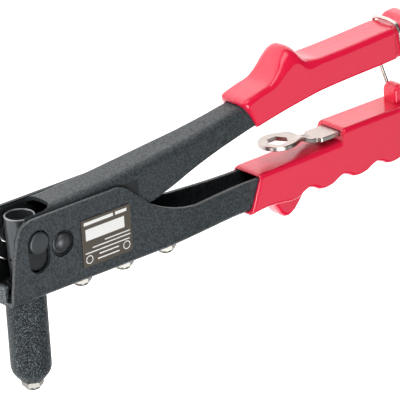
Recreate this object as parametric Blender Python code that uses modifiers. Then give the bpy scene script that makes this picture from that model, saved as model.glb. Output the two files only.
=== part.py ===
"""Hand riveter (long-handle pop rivet gun), as an assembly of separate pieces.

Tool axes, in millimetres: Z runs up the rivet axis from the nose tip, X runs from
the nose towards the handles, and the side plates stand at -Y and +Y. At the end the
tool is laid on its +Y side plate, with the centre of its box over the origin.
"""
import math

import bmesh
import bpy
from mathutils import Matrix, Vector

MM = 0.001
GAP = 0.3                 # clearance between faces that touch on the real tool
MERGE = 0.00001           # merge distance of modifiers, in metres
TURN_STEPS = 32           # facets round a turned piece

# fixed frame: a folded sheet channel, wide at the head and narrow at the tail
SHEET = 2.0
FRAME_BEND = 4.0
WEB_Z = 52.4              # outer face of the web
PLATE_TOP = 95.1
TAIL_TOP = 69.6
HEAD_HALF = 14.0
TAIL_HALF = 9.0
TAPER = (80.0, 138.0)     # the channel narrows between these X
FRAME_FRONT = -17.3
TAIL_END = 244.0
RISE = (140.0, 152.0)     # inside the grip the web steps up, to leave room for the finger hollows
TAIL_RISE = 4.2
LIP_HALF = 7.3
LIP_TOP = 62.2

# moving lever: an inverted channel inside the head plates
LEVER_BEND = 5.0
LEVER_HEAD_HALF = 10.9
LEVER_TAIL_HALF = 8.5
LEVER_TOP = 97.1
MOUTH_R = 9.5             # cut-out in the lever's web, round the exit tube
MOUTH_END = 14.0

# pivot, cross pin and travel
PIVOT_X, PIVOT_Z = 14.6, 77.4
PIVOT_R = 5.5
PIVOT_HOLE_R = 6.9
PIN_PROUD = 1.9           # how far the pin's domed ends stand out of the side plates
CROSS_Z = 82.2
CROSS_R = 5.7
SLOT_HALF = 6.5
SLOT_Z = (66.3, 88.9)
TRUNNION_PROUD = 1.1     # how far the trunnions stand out of the side plates
PIN_TRAVEL = 9.8

# nose and jaw train, turned about the rivet axis
BARREL_R = 10.3
BARREL_END = 4.9
BORE_R = 7.5
TUBE_TOP = 93.4
TUBE_R = 7.75
CASE_R = 7.1
CASE_TOP = 55.5
HEX_FLATS = 9.8
TIP_R = 4.0
TIP_H = 2.0
HEX_H = 2.6
MANDREL_R = 1.75
SPARE_X = (34.6, 61.4, 89.0)
BOSS_H = 2.6              # threaded collar pressed out of the web for each spare

# grips
GRIP_HALF = 10.5
GRIP_EDGE = 2.6
GRIP_FOOT = 138.0         # front end of the lower grip's underside
GRIP_BROW = 145.4         # front end of its top
GRIP_END = 262.0
STEP_X = 202.0            # the lower grip is taller behind this step
LOWER_TOP = 71.6
BLOCK_TOP = 79.2
BUMP_PITCH = 23.6
BUMP_FIRST = 165.6
BUMP_LOW = 50.5
HOLLOW_Z = 53.8           # the hollows between the ridges; the last ones are shallower

# latch bail and its boss
BAIL_X, BAIL_Z = 248.2, 86.2
BAIL_TOP_X, BAIL_TOP_Z = 243.2, 127.0
BAIL_R = 1.0
BAIL_HALF = 12.2
BOSS_HALF = 5.0

# nosepiece wrench stored in the step of the lower grip
RING_X, RING_Z = 166.0, 80.4
RING_R = 10.0
WRENCH_T = 2.4
BLADE_Z = 75.9
BLADE_HALF = 7.0
BLADE_X = (189.0, 236.0)

LABEL_CENTRE = (41.5, 72.8)
LABEL_SIZE = (31.0, 25.0)


# ---------------------------------------------------------------- scene and helpers

def clear_scene():
    for obj in list(bpy.data.objects):
        bpy.data.objects.remove(obj, do_unlink=True)


def collection(name):
    made = bpy.data.collections.new(name)
    bpy.context.scene.collection.children.link(made)
    return made


def material(name, colour, roughness, metallic):
    mat = bpy.data.materials.new(name)
    mat.use_nodes = True
    shader = mat.node_tree.nodes["Principled BSDF"]
    shader.inputs["Base Color"].default_value = (*colour, 1.0)
    shader.inputs["Roughness"].default_value = roughness
    shader.inputs["Metallic"].default_value = metallic
    mat.diffuse_color = (*colour, 1.0)
    return mat


clear_scene()
PARTS = collection("hand_riveter")
CUTTERS = collection("cutters")
POWDER_COAT = material("powder_coat", (0.045, 0.052, 0.058), 0.55, 0.0)
DARK_STEEL = material("dark_steel", (0.075, 0.08, 0.085), 0.4, 0.9)
NICKEL = material("nickel_plate", (0.72, 0.68, 0.6), 0.25, 1.0)
VINYL = material("red_vinyl", (0.75, 0.03, 0.06), 0.3, 0.0)
SPRING_STEEL = material("spring_steel", (0.35, 0.35, 0.36), 0.35, 1.0)
LABEL_FILM = material("label_film", (0.06, 0.055, 0.045), 0.5, 0.0)


def place(obj, name, mat):
    """Name an object and put it among the parts, or among the cutters if it has no material."""
    obj.name = name
    obj.data.name = name
    home = PARTS if mat else CUTTERS
    for owner in list(obj.users_collection):
        owner.objects.unlink(obj)
    home.objects.link(obj)
    if mat:
        obj.data.materials.clear()
        obj.data.materials.append(mat)
    else:
        obj.hide_render = True
        obj.display_type = "WIRE"
    return obj


def boolean(target, operation, *tools):
    for tool in tools:
        step = target.modifiers.new(f"{operation.lower()}_{tool.name}", "BOOLEAN")
        step.operation = operation
        step.solver = "EXACT"
        step.object = tool
    return target


def smooth(obj, angle=35):
    obj.data.shade_smooth()
    obj.data.set_sharp_from_angle(angle=math.radians(angle))
    return obj


def box(name, low, high, mat=None, bevel=0.0, segments=2):
    bpy.ops.mesh.primitive_cube_add(size=1)
    obj = place(bpy.context.object, name, mat)
    low, high = Vector(low), Vector(high)
    centre, size = (low + high) / 2 * MM, (high - low) * MM
    obj.data.transform(Matrix.Translation(centre) @ Matrix.Diagonal((*size, 1)))
    if bevel:
        edge = obj.modifiers.new("edge", "BEVEL")
        edge.width = bevel * MM
        edge.segments = segments
    return obj


def cylinder(name, radius, low, high, axis, centre, mat=None, steps=TURN_STEPS):
    """A cylinder along "X", "Y" or "Z" from low to high; centre holds the other two coordinates."""
    bpy.ops.mesh.primitive_cylinder_add(vertices=steps, radius=radius * MM, depth=(high - low) * MM)
    obj = place(bpy.context.object, name, mat)
    middle = (low + high) / 2
    a, b = centre
    turn = {"X": Matrix.Rotation(math.pi / 2, 4, "Y"), "Y": Matrix.Rotation(math.pi / 2, 4, "X"),
            "Z": Matrix.Identity(4)}[axis]
    spot = {"X": (middle, a, b), "Y": (a, middle, b), "Z": (a, b, middle)}[axis]
    obj.data.transform(Matrix.Translation(Vector(spot) * MM) @ turn)
    return obj


def turned(name, profile, mat=None, at=(0.0, 0.0), steps=TURN_STEPS, closed=False):
    """A body of revolution about the vertical through at; the (r, z) profile runs down its outside."""
    mesh = bpy.data.meshes.new(name)
    count = len(profile)
    edges = [(i, i + 1) for i in range(count - 1)] + ([(count - 1, 0)] if closed else [])
    mesh.from_pydata([(r * MM, 0, z * MM) for r, z in profile], edges, [])
    obj = place(bpy.data.objects.new(name, mesh), name, mat)
    screw = obj.modifiers.new("turn", "SCREW")
    screw.steps = screw.render_steps = steps
    screw.use_merge_vertices = True
    screw.merge_threshold = MERGE
    screw.use_smooth_shade = True
    baked = bpy.data.meshes.new_from_object(obj.evaluated_get(bpy.context.evaluated_depsgraph_get()))
    obj.modifiers.clear()
    obj.data = baked
    obj.data.name = name
    obj.data.transform(Matrix.Translation((at[0] * MM, at[1] * MM, 0)))
    if mat:
        smooth(obj)
    return obj


def curve_to_mesh(curve_obj, name, mat):
    """Turn an evaluated curve into a closed mesh object with its caps welded."""
    mesh = bpy.data.meshes.new_from_object(curve_obj.evaluated_get(bpy.context.evaluated_depsgraph_get()))
    work = bmesh.new()
    work.from_mesh(mesh)
    bmesh.ops.remove_doubles(work, verts=work.verts, dist=MERGE)
    bmesh.ops.recalc_face_normals(work, faces=work.faces)
    work.to_mesh(mesh)
    work.free()
    obj = place(bpy.data.objects.new(name, mesh), name, mat)
    obj.data.transform(curve_obj.matrix_world)
    bpy.data.objects.remove(curve_obj, do_unlink=True)
    return obj


def slab(name, outline, low, high, plane="XZ", mat=None, edge=0.0, curvy=4):
    """A flat outline given a thickness. Points are (a, b) for a corner or (a, b, "r") for a smooth one.

    plane "XZ" is a side outline with its thickness along Y; "XY" is a plan outline with it along Z.
    """
    curve = bpy.data.curves.new(name, "CURVE")
    curve.dimensions = "2D"
    curve.fill_mode = "BOTH"
    curve.resolution_u = curvy
    curve.extrude = ((high - low) / 2 - edge) * MM
    curve.bevel_depth = edge * MM
    curve.offset = -edge * MM
    curve.bevel_resolution = 1
    spline = curve.splines.new("BEZIER")
    spline.bezier_points.add(len(outline) - 1)
    spline.use_cyclic_u = True
    for point, spot in zip(spline.bezier_points, outline):
        point.co = (spot[0] * MM, spot[1] * MM, 0)
        kind = "AUTO" if len(spot) > 2 else "VECTOR"
        point.handle_left_type = point.handle_right_type = kind
    obj = bpy.data.objects.new(f"{name}_curve", curve)
    bpy.context.scene.collection.objects.link(obj)
    middle = (low + high) / 2 * MM
    if plane == "XZ":
        obj.matrix_world = Matrix.Translation((0, middle, 0)) @ Matrix.Rotation(math.pi / 2, 4, "X")
    else:
        obj.matrix_world = Matrix.Translation((0, 0, middle))
    bpy.context.view_layer.update()
    return curve_to_mesh(obj, name, mat)


def wire(name, points, radius, mat, sides=1):
    """A round wire through points, as a closed mesh; sides is the bevel resolution."""
    curve = bpy.data.curves.new(name, "CURVE")
    curve.dimensions = "3D"
    curve.bevel_depth = radius * MM
    curve.bevel_resolution = sides
    curve.use_fill_caps = True
    spline = curve.splines.new("POLY")
    spline.points.add(len(points) - 1)
    for point, spot in zip(spline.points, points):
        point.co = (*(Vector(spot) * MM), 1)
    obj = bpy.data.objects.new(f"{name}_curve", curve)
    bpy.context.scene.collection.objects.link(obj)
    bpy.context.view_layer.update()
    return smooth(curve_to_mesh(obj, name, mat), 50)


def rounded_path(corners, radius, steps=4):
    """Points through the corners of a bent wire, with each inner corner replaced by an arc."""
    corners = [Vector(c) for c in corners]
    path = [corners[0]]
    for before, corner, after in zip(corners, corners[1:], corners[2:]):
        a, b = (before - corner).normalized(), (after - corner).normalized()
        half = a.angle(b) / 2
        reach = radius / math.tan(half)
        centre = corner + (a + b).normalized() * radius / math.sin(half)
        start, end = corner + a * reach - centre, corner + b * reach - centre
        spin = start.cross(end).normalized()
        sweep = start.angle(end)
        path += [centre + Matrix.Rotation(sweep * i / steps, 3, spin) @ start for i in range(steps + 1)]
    return path + [corners[-1]]


def channel(name, stations, depth, bend, opens_up, mat):
    """A folded sheet channel lofted along X: stations are (x, half width, z of the web's outer face)."""
    sign = 1 if opens_up else -1
    verts, faces = [], []
    arc = 4
    for x, half, web in stations:
        ring = [(-half, web + sign * depth)]
        for i in range(arc + 1):
            turn = math.pi / 2 * i / arc
            ring.append((-half + bend - bend * math.cos(turn), web + sign * (bend - bend * math.sin(turn))))
        ring += [(-y, z) for y, z in reversed(ring)]
        verts += [(x * MM, y * MM, z * MM) for y, z in ring]
    count = 2 * (arc + 2)
    for s in range(len(stations) - 1):
        for i in range(count - 1):
            a = s * count + i
            face = (a, a + 1, a + count + 1, a + count)
            faces.append(face if opens_up else face[::-1])
    mesh = bpy.data.meshes.new(name)
    mesh.from_pydata(verts, [], faces)
    obj = place(bpy.data.objects.new(name, mesh), name, mat)
    wall = obj.modifiers.new("sheet", "SOLIDIFY")
    wall.thickness = SHEET * MM
    wall.offset = -1
    wall.use_even_offset = True
    return smooth(obj)


def s_curve(x, low, high):
    t = min(max((x - low) / (high - low), 0), 1)
    return t * t * (3 - 2 * t)


# ---------------------------------------------------------------- frame

def frame_half(x):
    return HEAD_HALF + (TAIL_HALF - HEAD_HALF) * s_curve(x, *TAPER)


def frame_web(x):
    return WEB_Z + TAIL_RISE * s_curve(x, *RISE)


def frame_channel():
    xs = [FRAME_FRONT, TAPER[0]] + [TAPER[0] + (TAPER[1] - TAPER[0]) * i / 6 for i in range(1, 7)]
    xs += [RISE[0] + (RISE[1] - RISE[0]) * i / 3 for i in range(4)] + [TAIL_END]
    stations = [(x, frame_half(x), frame_web(x)) for x in xs]
    body = channel("frame_channel", stations, 50, FRAME_BEND, True, POWDER_COAT)
    side = [(FRAME_FRONT - 1, WEB_Z - 3), (FRAME_FRONT, 58.5), (-16.4, 64.4), (-15.5, 70.5), (-14.5, 77.0),
            (-13.4, 83.0), (-12.0, 87.8), (-10.1, 91.6), (-7.2, 94.0), (-3.6, 94.9), (0.0, PLATE_TOP),
            (51.0, PLATE_TOP), (55.0, 93.8, "r"), (62.0, 88.1, "r"),
            (69.7, 81.3, "r"), (76.8, 77.0, "r"), (83.1, 74.2, "r"), (91.0, 71.6, "r"), (101.0, TAIL_TOP),
            (TAIL_END + 1, TAIL_TOP - 0.6), (TAIL_END + 1, WEB_Z - 3)]
    boolean(body, "INTERSECT", slab("side_outline", side, -HEAD_HALF - 3, HEAD_HALF + 3))
    lip = box("front_lip", (FRAME_FRONT + 0.05, -LIP_HALF, WEB_Z + 0.05),
              (FRAME_FRONT + SHEET, LIP_HALF, LIP_TOP))
    bosses = [cylinder(f"boss_{i}", 5.8, WEB_Z - BOSS_H, WEB_Z + 1, "Z", (x, 0))
              for i, x in enumerate(SPARE_X)]
    boolean(body, "UNION", lip, *bosses)
    reach = HEAD_HALF + 5
    low, high = SLOT_Z[0] + SLOT_HALF, SLOT_Z[1] - SLOT_HALF
    arcs = [(SLOT_HALF * math.cos(a), z + SLOT_HALF * math.sin(a))
            for z, start in ((high, 0.0), (low, math.pi))
            for a in [start + math.pi * i / 12 for i in range(13)]]
    slot = slab("pin_slot", arcs, -reach, reach, curvy=1)
    pivot = cylinder("pivot_hole", PIVOT_HOLE_R, -reach, reach, "Y", (PIVOT_X, PIVOT_Z))
    seat = cylinder("barrel_seat", 9.3, WEB_Z - 2, WEB_Z + SHEET + 2, "Z", (0, 0))
    threads = [cylinder(f"spare_hole_{i}", 3.5, WEB_Z - BOSS_H - 1, WEB_Z + 5, "Z", (x, 0))
               for i, x in enumerate(SPARE_X)]
    return boolean(body, "DIFFERENCE", slot, pivot, seat, *threads)


def nose_barrel():
    shoulder = 9.0            # spigot that passes through the web
    top = WEB_Z + SHEET + 4.0
    taper = [(BARREL_R, 12.4), (9.9, 10.6), (9.1, 8.9), (6.6, 5.4), (5.9, BARREL_END)]
    outside = [(shoulder, top), (shoulder, WEB_Z - GAP), (BARREL_R, WEB_Z - GAP)] + taper
    inside = [(3.5, BARREL_END), (3.5, 11.0), (BORE_R, 11.4), (BORE_R, top)]
    return turned("nose_barrel", outside + inside, POWDER_COAT, closed=True)


def barrel_collar():
    low = WEB_Z + SHEET + GAP
    high = low + 3.2
    profile = [(10.8, high), (10.8, low), (9.3, low), (9.3, high)]
    return turned("barrel_collar", profile, DARK_STEEL, closed=True)


def nosepiece(name, x, drop):
    """A threaded nosepiece: domed tip, hexagon, and a shank that screws in above it."""
    hex_low, hex_high = drop + TIP_H, drop + TIP_H + HEX_H
    bpy.ops.mesh.primitive_cylinder_add(vertices=6, radius=HEX_FLATS / math.sqrt(3) * MM, depth=HEX_H * MM)
    body = place(bpy.context.object, name, NICKEL)
    body.data.transform(Matrix.Translation((x * MM, 0, (hex_low + hex_high) / 2 * MM)))
    tip = turned(f"{name}_tip", [(0, hex_low + 0.5), (TIP_R, hex_low + 0.5), (TIP_R, drop + 0.9),
                                 (TIP_R - 0.35, drop + 0.3), (TIP_R - 1.0, drop), (0, drop)], at=(x, 0))
    shank = cylinder(f"{name}_shank", 3.2, hex_high - 0.5, hex_high + 6.6, "Z", (x, 0))
    bore = cylinder(f"{name}_bore", MANDREL_R, drop - 1, hex_high + 8, "Z", (x, 0), steps=24)
    boolean(body, "UNION", tip, shank)
    return boolean(body, "DIFFERENCE", bore)


def fitted_nosepiece():
    return nosepiece("fitted_nosepiece", 0, 0)


def spare_nosepieces():
    drop = WEB_Z - BOSS_H - GAP - TIP_H - HEX_H
    return [nosepiece(f"spare_nosepiece_{i + 1}", x, drop) for i, x in enumerate(SPARE_X)]


def pivot_pin():
    half = HEAD_HALF + PIN_PROUD
    dome = [(PIVOT_R * math.cos(a), HEAD_HALF + PIN_PROUD * math.sin(a))
            for a in [math.pi / 2 * i / 4 for i in (4, 3, 2, 1, 0)]]
    profile = [(0, half)] + dome[1:] + [(r, -z) for r, z in reversed(dome[1:])] + [(0, -half)]
    pin = turned("pivot_pin", profile, DARK_STEEL)
    turn = Matrix.Rotation(math.pi / 2, 4, "X")
    pin.data.transform(Matrix.Translation((PIVOT_X * MM, 0, PIVOT_Z * MM)) @ turn)
    return pin


def pivot_bush(name, side):
    low, high = HEAD_HALF - SHEET - 0.1, HEAD_HALF - 0.9
    inner, outer = PIVOT_R + GAP, PIVOT_HOLE_R - GAP
    profile = [(outer, high), (outer, low), (inner, low), (inner, high)]
    ring = turned(name, profile, DARK_STEEL, closed=True)
    turn = Matrix.Rotation(side * -math.pi / 2, 4, "X")
    ring.data.transform(Matrix.Translation((PIVOT_X * MM, 0, PIVOT_Z * MM)) @ turn)
    return ring


def pivot_bushes():
    return [pivot_bush("pivot_bush_near", -1), pivot_bush("pivot_bush_far", 1)]


def label_plate():
    w, h = LABEL_SIZE
    plate = box("label_plate", (-w / 2, -0.15, -h / 2), (w / 2, 0.15, h / 2), LABEL_FILM)
    spot = Vector((LABEL_CENTRE[0], -HEAD_HALF - GAP - 0.15, LABEL_CENTRE[1])) * MM
    plate.data.transform(Matrix.Translation(spot))
    return plate


# ---------------------------------------------------------------- jaw train

def jaw_case():
    outside = [(CASE_R, CASE_TOP), (CASE_R, 24.0), (6.2, 21.6)]
    inside = [(2.4, 21.6), (5.3, 33.0), (5.3, CASE_TOP)]
    return turned("jaw_case", outside + inside, DARK_STEEL, closed=True)


def jaws():
    """Three hardened segments of a cone, parted by sawn gaps."""
    blank = [(4.9, 33.4), (1.9, 22.2), (0.9, 22.2), (0.9, 33.4)]
    made = []
    for i in range(3):
        jaw = turned(f"jaw_{i + 1}", blank, SPRING_STEEL, closed=True, steps=36)
        rim = [math.radians(-56 + 28 * k) for k in range(5)]
        sector = [(0.35, 0)] + [(9 * math.cos(a), 9 * math.sin(a)) for a in rim]
        wedge = slab(f"jaw_sector_{i + 1}", sector, 20, 36, plane="XY", curvy=1)
        wedge.data.transform(Matrix.Rotation(math.radians(120 * i + 30), 4, "Z"))
        made.append(boolean(jaw, "INTERSECT", wedge))
    return made


def jaw_pusher():
    outside = [(4.7, 40.0), (4.7, 35.0), (4.0, 34.0)]
    inside = [(MANDREL_R, 34.0), (MANDREL_R, 40.0)]
    return turned("jaw_pusher", outside + inside, DARK_STEEL, closed=True)


def coil(turns, radius, low, high, per_turn=10):
    count = turns * per_turn
    return [(radius * math.cos(2 * math.pi * i / per_turn), radius * math.sin(2 * math.pi * i / per_turn),
             low + (high - low) * i / count) for i in range(count + 1)]


def jaw_spring():
    return wire("jaw_spring", coil(6, 3.9, 41.1, 54.4), 0.5, SPRING_STEEL)


def tube_lock_nut():
    low, high = CASE_TOP + 2 * GAP, 60.0
    profile = [(7.05, high), (7.05, low), (6.5, low), (6.5, high)]
    return turned("tube_lock_nut", profile, DARK_STEEL, closed=True)


def exit_tube():
    """The flared tube that spent mandrels leave by, with the two trunnions seen in the frame's slots.

    Its lower end seats the jaw spring."""
    outside = [(TUBE_R, TUBE_TOP), (TUBE_R, TUBE_TOP - 2), (7.25, 72.0), (6.75, 62.0), (6.2, 60.2),
               (6.2, CASE_TOP + GAP)]
    inside = [(MANDREL_R + 0.3, CASE_TOP + GAP), (3.6, 57.5), (5.9, 63.0), (6.4, 72.0), (6.9, TUBE_TOP)]
    tube = turned("exit_tube", outside + inside, DARK_STEEL, closed=True)
    reach = HEAD_HALF + TRUNNION_PROUD
    trunnions = [cylinder(f"trunnion_{n}", CROSS_R, a, b, "Y", (0, CROSS_Z))
                 for n, a, b in (("near", -reach, -5.0), ("far", 5.0, reach))]
    core = cylinder("tube_core", 6.3, CROSS_Z - 8, CROSS_Z + 8, "Z", (0, 0))
    hole = cylinder("tube_hole", 0.9, -20, 0, "X", (0, 71.5), steps=16)
    boolean(tube, "UNION", *trunnions)
    return boolean(tube, "DIFFERENCE", core, hole)


# ---------------------------------------------------------------- lever

LEVER_LINE = ((-16, LEVER_TOP), (20, LEVER_TOP), (50, 98.8), (66, 100.2), (78, 101.4), (92, 102.8),
              (106, 104.4), (122, 106.9), (139, 109.8), (160, 113.4), (185, 116.6), (205, 118.0),
              (TAIL_END, 119.0))
LEVER_UNDER = ((74, 80.1), (87, 83.5), (101, 88.0), (115, 91.7), (130, 95.1), (146, 98.5), (170, 103.4),
               (193, 106.4), (TAIL_END + 1, 108.4))


def lever_half(x):
    return LEVER_HEAD_HALF + (LEVER_TAIL_HALF - LEVER_HEAD_HALF) * s_curve(x, TAPER[0] - 4, TAPER[1] + 4)


def lever():
    stations = [(x, lever_half(x), z) for x, z in LEVER_LINE]
    body = channel("lever", stations, 40, LEVER_BEND, False, POWDER_COAT)
    side = [(-3.6, LEVER_TOP + 3), (-4.4, 94.6, "r"), (-8.6, 90.0, "r"), (-11.2, 83.9, "r"),
            (-9.8, 74.5, "r"), (-4.2, 68.6, "r"), (3.0, 66.2, "r"), (14.6, 65.8, "r"), (30.0, 69.6, "r"),
            (52.0, 75.0, "r")]
    side += [(x, z, "r") for x, z in LEVER_UNDER[:-2]] + [*LEVER_UNDER[-2:], (TAIL_END + 1, 125), (100, 125)]
    boolean(body, "INTERSECT", slab("lever_outline", side, -15, 15))
    side_of_mouth = [(-20, 1.0), (MOUTH_END - 7.0, 1.0), (MOUTH_END - 3.4, 0.93), (MOUTH_END - 1.1, 0.72),
                     (MOUTH_END - 0.2, 0.38)]
    mouth = [(x, -MOUTH_R * y) for x, y in side_of_mouth] + [(MOUTH_END, 0.0)]
    mouth += [(x, MOUTH_R * y) for x, y in reversed(side_of_mouth)]
    opening = slab("lever_mouth", mouth, LEVER_TOP - 6, LEVER_TOP + 6, plane="XY", curvy=1)
    bearing = cylinder("lever_bearing", PIVOT_R + GAP, -15, 15, "Y", (PIVOT_X, PIVOT_Z))
    # the trunnion's hole is oval along the arm, because the pin slides 0.9 mm out along it
    arm = Vector((-PIVOT_X, CROSS_Z - PIVOT_Z)).normalized()
    angle = math.atan2(arm.y, arm.x)
    r = CROSS_R + 0.5
    ends = ((0.3, -math.pi / 2), (-1.3, math.pi / 2))
    oval = [(d + r * math.cos(a), r * math.sin(a)) for d, start in ends
            for a in [start + math.pi * i / 10 for i in range(11)]]
    oval = [(a * math.cos(angle) - b * math.sin(angle), CROSS_Z + a * math.sin(angle) + b * math.cos(angle))
            for a, b in oval]
    eye = slab("lever_eye", oval, -15, 15, curvy=1)
    return boolean(body, "DIFFERENCE", opening, bearing, eye)


# ---------------------------------------------------------------- grips

def cavity(name, line_top, line_under, half):
    """The pocket a grip has for the channel inside it."""
    outline = [(x, z - GAP) for x, z in line_under] + [(x, z + GAP) for x, z in reversed(line_top)]
    return slab(name, outline, -half - GAP, half + GAP, curvy=1)


def upper_grip():
    side = [(138.2, 113.2), (145.4, 97.0), (170.0, 101.4, "r"), (193.0, 104.3, "r"), (243.0, 106.3),
            (257.0, 107.0), (261.0, 109.4, "r"), (GRIP_END, 113.0), (GRIP_END, 121.0), (258.4, 126.0, "r"),
            (252.0, 125.8, "r"), (247.6, 124.0, "r"), (241.0, 123.7), (188.0, 121.8, "r"),
            (182.0, 124.0, "r"), (176.5, 129.8, "r"), (170.5, 132.2, "r"), (165.6, 128.6, "r"),
            (161.0, 121.0, "r"), (155.0, 117.2, "r"), (148.0, 115.6)]
    grip = slab("upper_grip", side, -GRIP_HALF, GRIP_HALF, mat=VINYL, edge=GRIP_EDGE)
    line = [(130, 107.8)] + [p for p in LEVER_LINE if p[0] > 135] + [(TAIL_END + GAP, 119.0)]
    under = [(130, 95.4)] + [p for p in LEVER_UNDER if 140 < p[0] < TAIL_END] + [(TAIL_END + GAP, 108.4)]
    pocket = cavity("upper_pocket", line, under, LEVER_TAIL_HALF)
    return smooth(boolean(grip, "DIFFERENCE", pocket))


def lower_grip():
    scallops = []
    x = BUMP_FIRST
    while x < GRIP_END - 15:
        scallops.append((x, BUMP_LOW, "r"))
        scallops.append((x + BUMP_PITCH / 2, HOLLOW_Z - 2.0 * (x > 225), "r"))
        x += BUMP_PITCH
    side = [(GRIP_BROW, LOWER_TOP), (GRIP_FOOT, 50.8), (150.0, 52.2, "r")] + scallops
    side += [(261.2, 55.0, "r"), (GRIP_END, 60.0), (GRIP_END, 73.0), (260.6, 77.8, "r"), (256.5, BLOCK_TOP),
             (STEP_X + 2.2, BLOCK_TOP), (STEP_X, LOWER_TOP + 1.2)]
    grip = slab("lower_grip", side, -GRIP_HALF, GRIP_HALF, mat=VINYL, edge=GRIP_EDGE)
    guard_side = [(154.5, 56.0), (158.2, 49.2, "r"), (162.3, 43.0, "r"), (166.8, 40.0, "r"),
                  (171.2, 42.2, "r"), (176.8, 48.0, "r"), (184.5, 56.0)]
    guard = slab("finger_guard", guard_side, -6.0, 6.0, edge=1.6)
    boss_side = [(244.0, BLOCK_TOP - 3), (244.0, 85.2), (245.0, 88.0, "r"), (248.2, 89.2, "r"),
                 (251.4, 88.0, "r"), (252.4, 85.2), (252.4, BLOCK_TOP - 3)]
    boss = slab("bail_boss", boss_side, -BOSS_HALF, BOSS_HALF, edge=1.0)
    boolean(grip, "UNION", guard, boss)
    xs = [130] + [RISE[0] + (RISE[1] - RISE[0]) * i / 3 for i in range(4)] + [TAIL_END + GAP]
    under = [(x, frame_web(x)) for x in xs]
    pocket = cavity("lower_pocket", [(130, TAIL_TOP), (TAIL_END + GAP, TAIL_TOP)], under, TAIL_HALF)
    slot = box("wrench_slot", (STEP_X - 6, -BLADE_HALF - GAP, BLADE_Z - WRENCH_T / 2 - GAP),
               (BLADE_X[1] + 2, BLADE_HALF + GAP, BLADE_Z + WRENCH_T / 2 + GAP))
    hole = cylinder("bail_hole", BAIL_R + GAP, -9, 9, "Y", (BAIL_X, BAIL_Z), steps=20)
    return smooth(boolean(grip, "DIFFERENCE", pocket, slot, hole))


# ---------------------------------------------------------------- bail and wrench

def latch_bail():
    near = [(BAIL_X, -1.6, BAIL_Z), (BAIL_X, -6.6, BAIL_Z), (246.4, -BAIL_HALF, 102.8),
            (244.0, -BAIL_HALF, 122.2), (BAIL_TOP_X, -6.4, BAIL_TOP_Z)]
    corners = near + [(x, -y, z) for x, y, z in reversed(near)]
    return wire("latch_bail", rounded_path(corners, 2.4), BAIL_R, NICKEL, sides=2)


def wrench():
    low, high = RING_Z - WRENCH_T / 2, RING_Z + WRENCH_T / 2
    ring = cylinder("nosepiece_wrench", RING_R, low, high, "Z", (RING_X, 0), NICKEL, steps=32)
    start, end = Vector((RING_X + 7, RING_Z)), Vector((BLADE_X[0] + 2.5, BLADE_Z))
    run = (end - start).length
    neck = box("wrench_neck", (-run / 2, -4.2, -WRENCH_T / 2 + 0.05), (run / 2, 4.2, WRENCH_T / 2 - 0.05))
    middle = (start + end) / 2 * MM
    tilt = -math.atan2(end.y - start.y, end.x - start.x)
    neck.data.transform(Matrix.Translation((middle.x, 0, middle.y)) @ Matrix.Rotation(tilt, 4, "Y"))
    side = [(BLADE_X[0], 5.0), (BLADE_X[0] + 0.7, 6.3), (BLADE_X[0] + 2.2, BLADE_HALF),
            (BLADE_X[1] - 3, BLADE_HALF), (BLADE_X[1], 3.5)]
    plan = [(x, -y) for x, y in side] + side[::-1]
    blade = slab("wrench_blade", plan, BLADE_Z - WRENCH_T / 2, BLADE_Z + WRENCH_T / 2, plane="XY", curvy=1)
    corner = (HEX_FLATS + 0.4) / math.sqrt(3) * MM
    bpy.ops.mesh.primitive_cylinder_add(vertices=6, radius=corner, depth=8 * MM)
    hexagon = place(bpy.context.object, "wrench_hexagon", None)
    hexagon.data.transform(Matrix.Translation((RING_X * MM, 0, RING_Z * MM)))
    boolean(ring, "UNION", neck, blade)
    return boolean(ring, "DIFFERENCE", hexagon)


# ---------------------------------------------------------------- assembly

FRAME_PIECES = (frame_channel, nose_barrel, barrel_collar, fitted_nosepiece, spare_nosepieces, pivot_pin,
                pivot_bushes, label_plate, lower_grip)
ORIGIN = (0.0, 0.0, 0.0)
GROUPS = (                # name, place of its axis in tool axes, its pieces
    ("frame_group", ORIGIN, FRAME_PIECES),
    ("lever_axis", (PIVOT_X, 0.0, PIVOT_Z), (lever, upper_grip)),
    ("carriage_axis", (0.0, 0.0, CROSS_Z), (exit_tube, tube_lock_nut, jaw_case, jaw_spring)),
    ("jaw_axis", (0.0, 0.0, 34.0), (jaws, jaw_pusher)),
    ("bail_axis", (BAIL_X, 0.0, BAIL_Z), (latch_bail,)),
    ("wrench_axis", (BLADE_X[0], 0.0, BLADE_Z), (wrench,)),
)


def build_group(name, spot, pieces, tool):
    """Make the pieces, and hang them and their cutters on an empty at the group's axis."""
    before = set(bpy.data.objects)
    for make in pieces:
        make()
    axis = bpy.data.objects.new(name, None)
    axis.empty_display_size = 0.01
    PARTS.objects.link(axis)
    axis.parent = tool
    axis.location = Vector(spot) * MM
    for obj in set(bpy.data.objects) - before - {axis}:
        obj.parent = axis
        obj.location = -Vector(spot) * MM


def lay_on_side(tool):
    """Turn the tool onto its +Y plate and bring the bottom centre of its box to the origin."""
    tool.rotation_euler = (-math.pi / 2, 0, 0)
    bpy.context.view_layer.update()
    graph = bpy.context.evaluated_depsgraph_get()
    corners = [obj.matrix_world @ v.co for obj in PARTS.objects if obj.type == "MESH"
               for v in obj.evaluated_get(graph).data.vertices]
    low = Vector([min(c[i] for c in corners) for i in range(3)])
    high = Vector([max(c[i] for c in corners) for i in range(3)])
    tool.location = Vector((-(low.x + high.x) / 2, -(low.y + high.y) / 2, -low.z))
    bpy.context.view_layer.update()


def main():
    tool = bpy.data.objects.new("tool_axes", None)
    PARTS.objects.link(tool)
    for name, spot, pieces in GROUPS:
        build_group(name, spot, pieces, tool)
    lay_on_side(tool)


main()
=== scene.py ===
"""Looks of the hand riveter: fine meshes and finishes round the packed frame."""
import math

import bmesh
import bpy
from mathutils import Matrix, Vector


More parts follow.
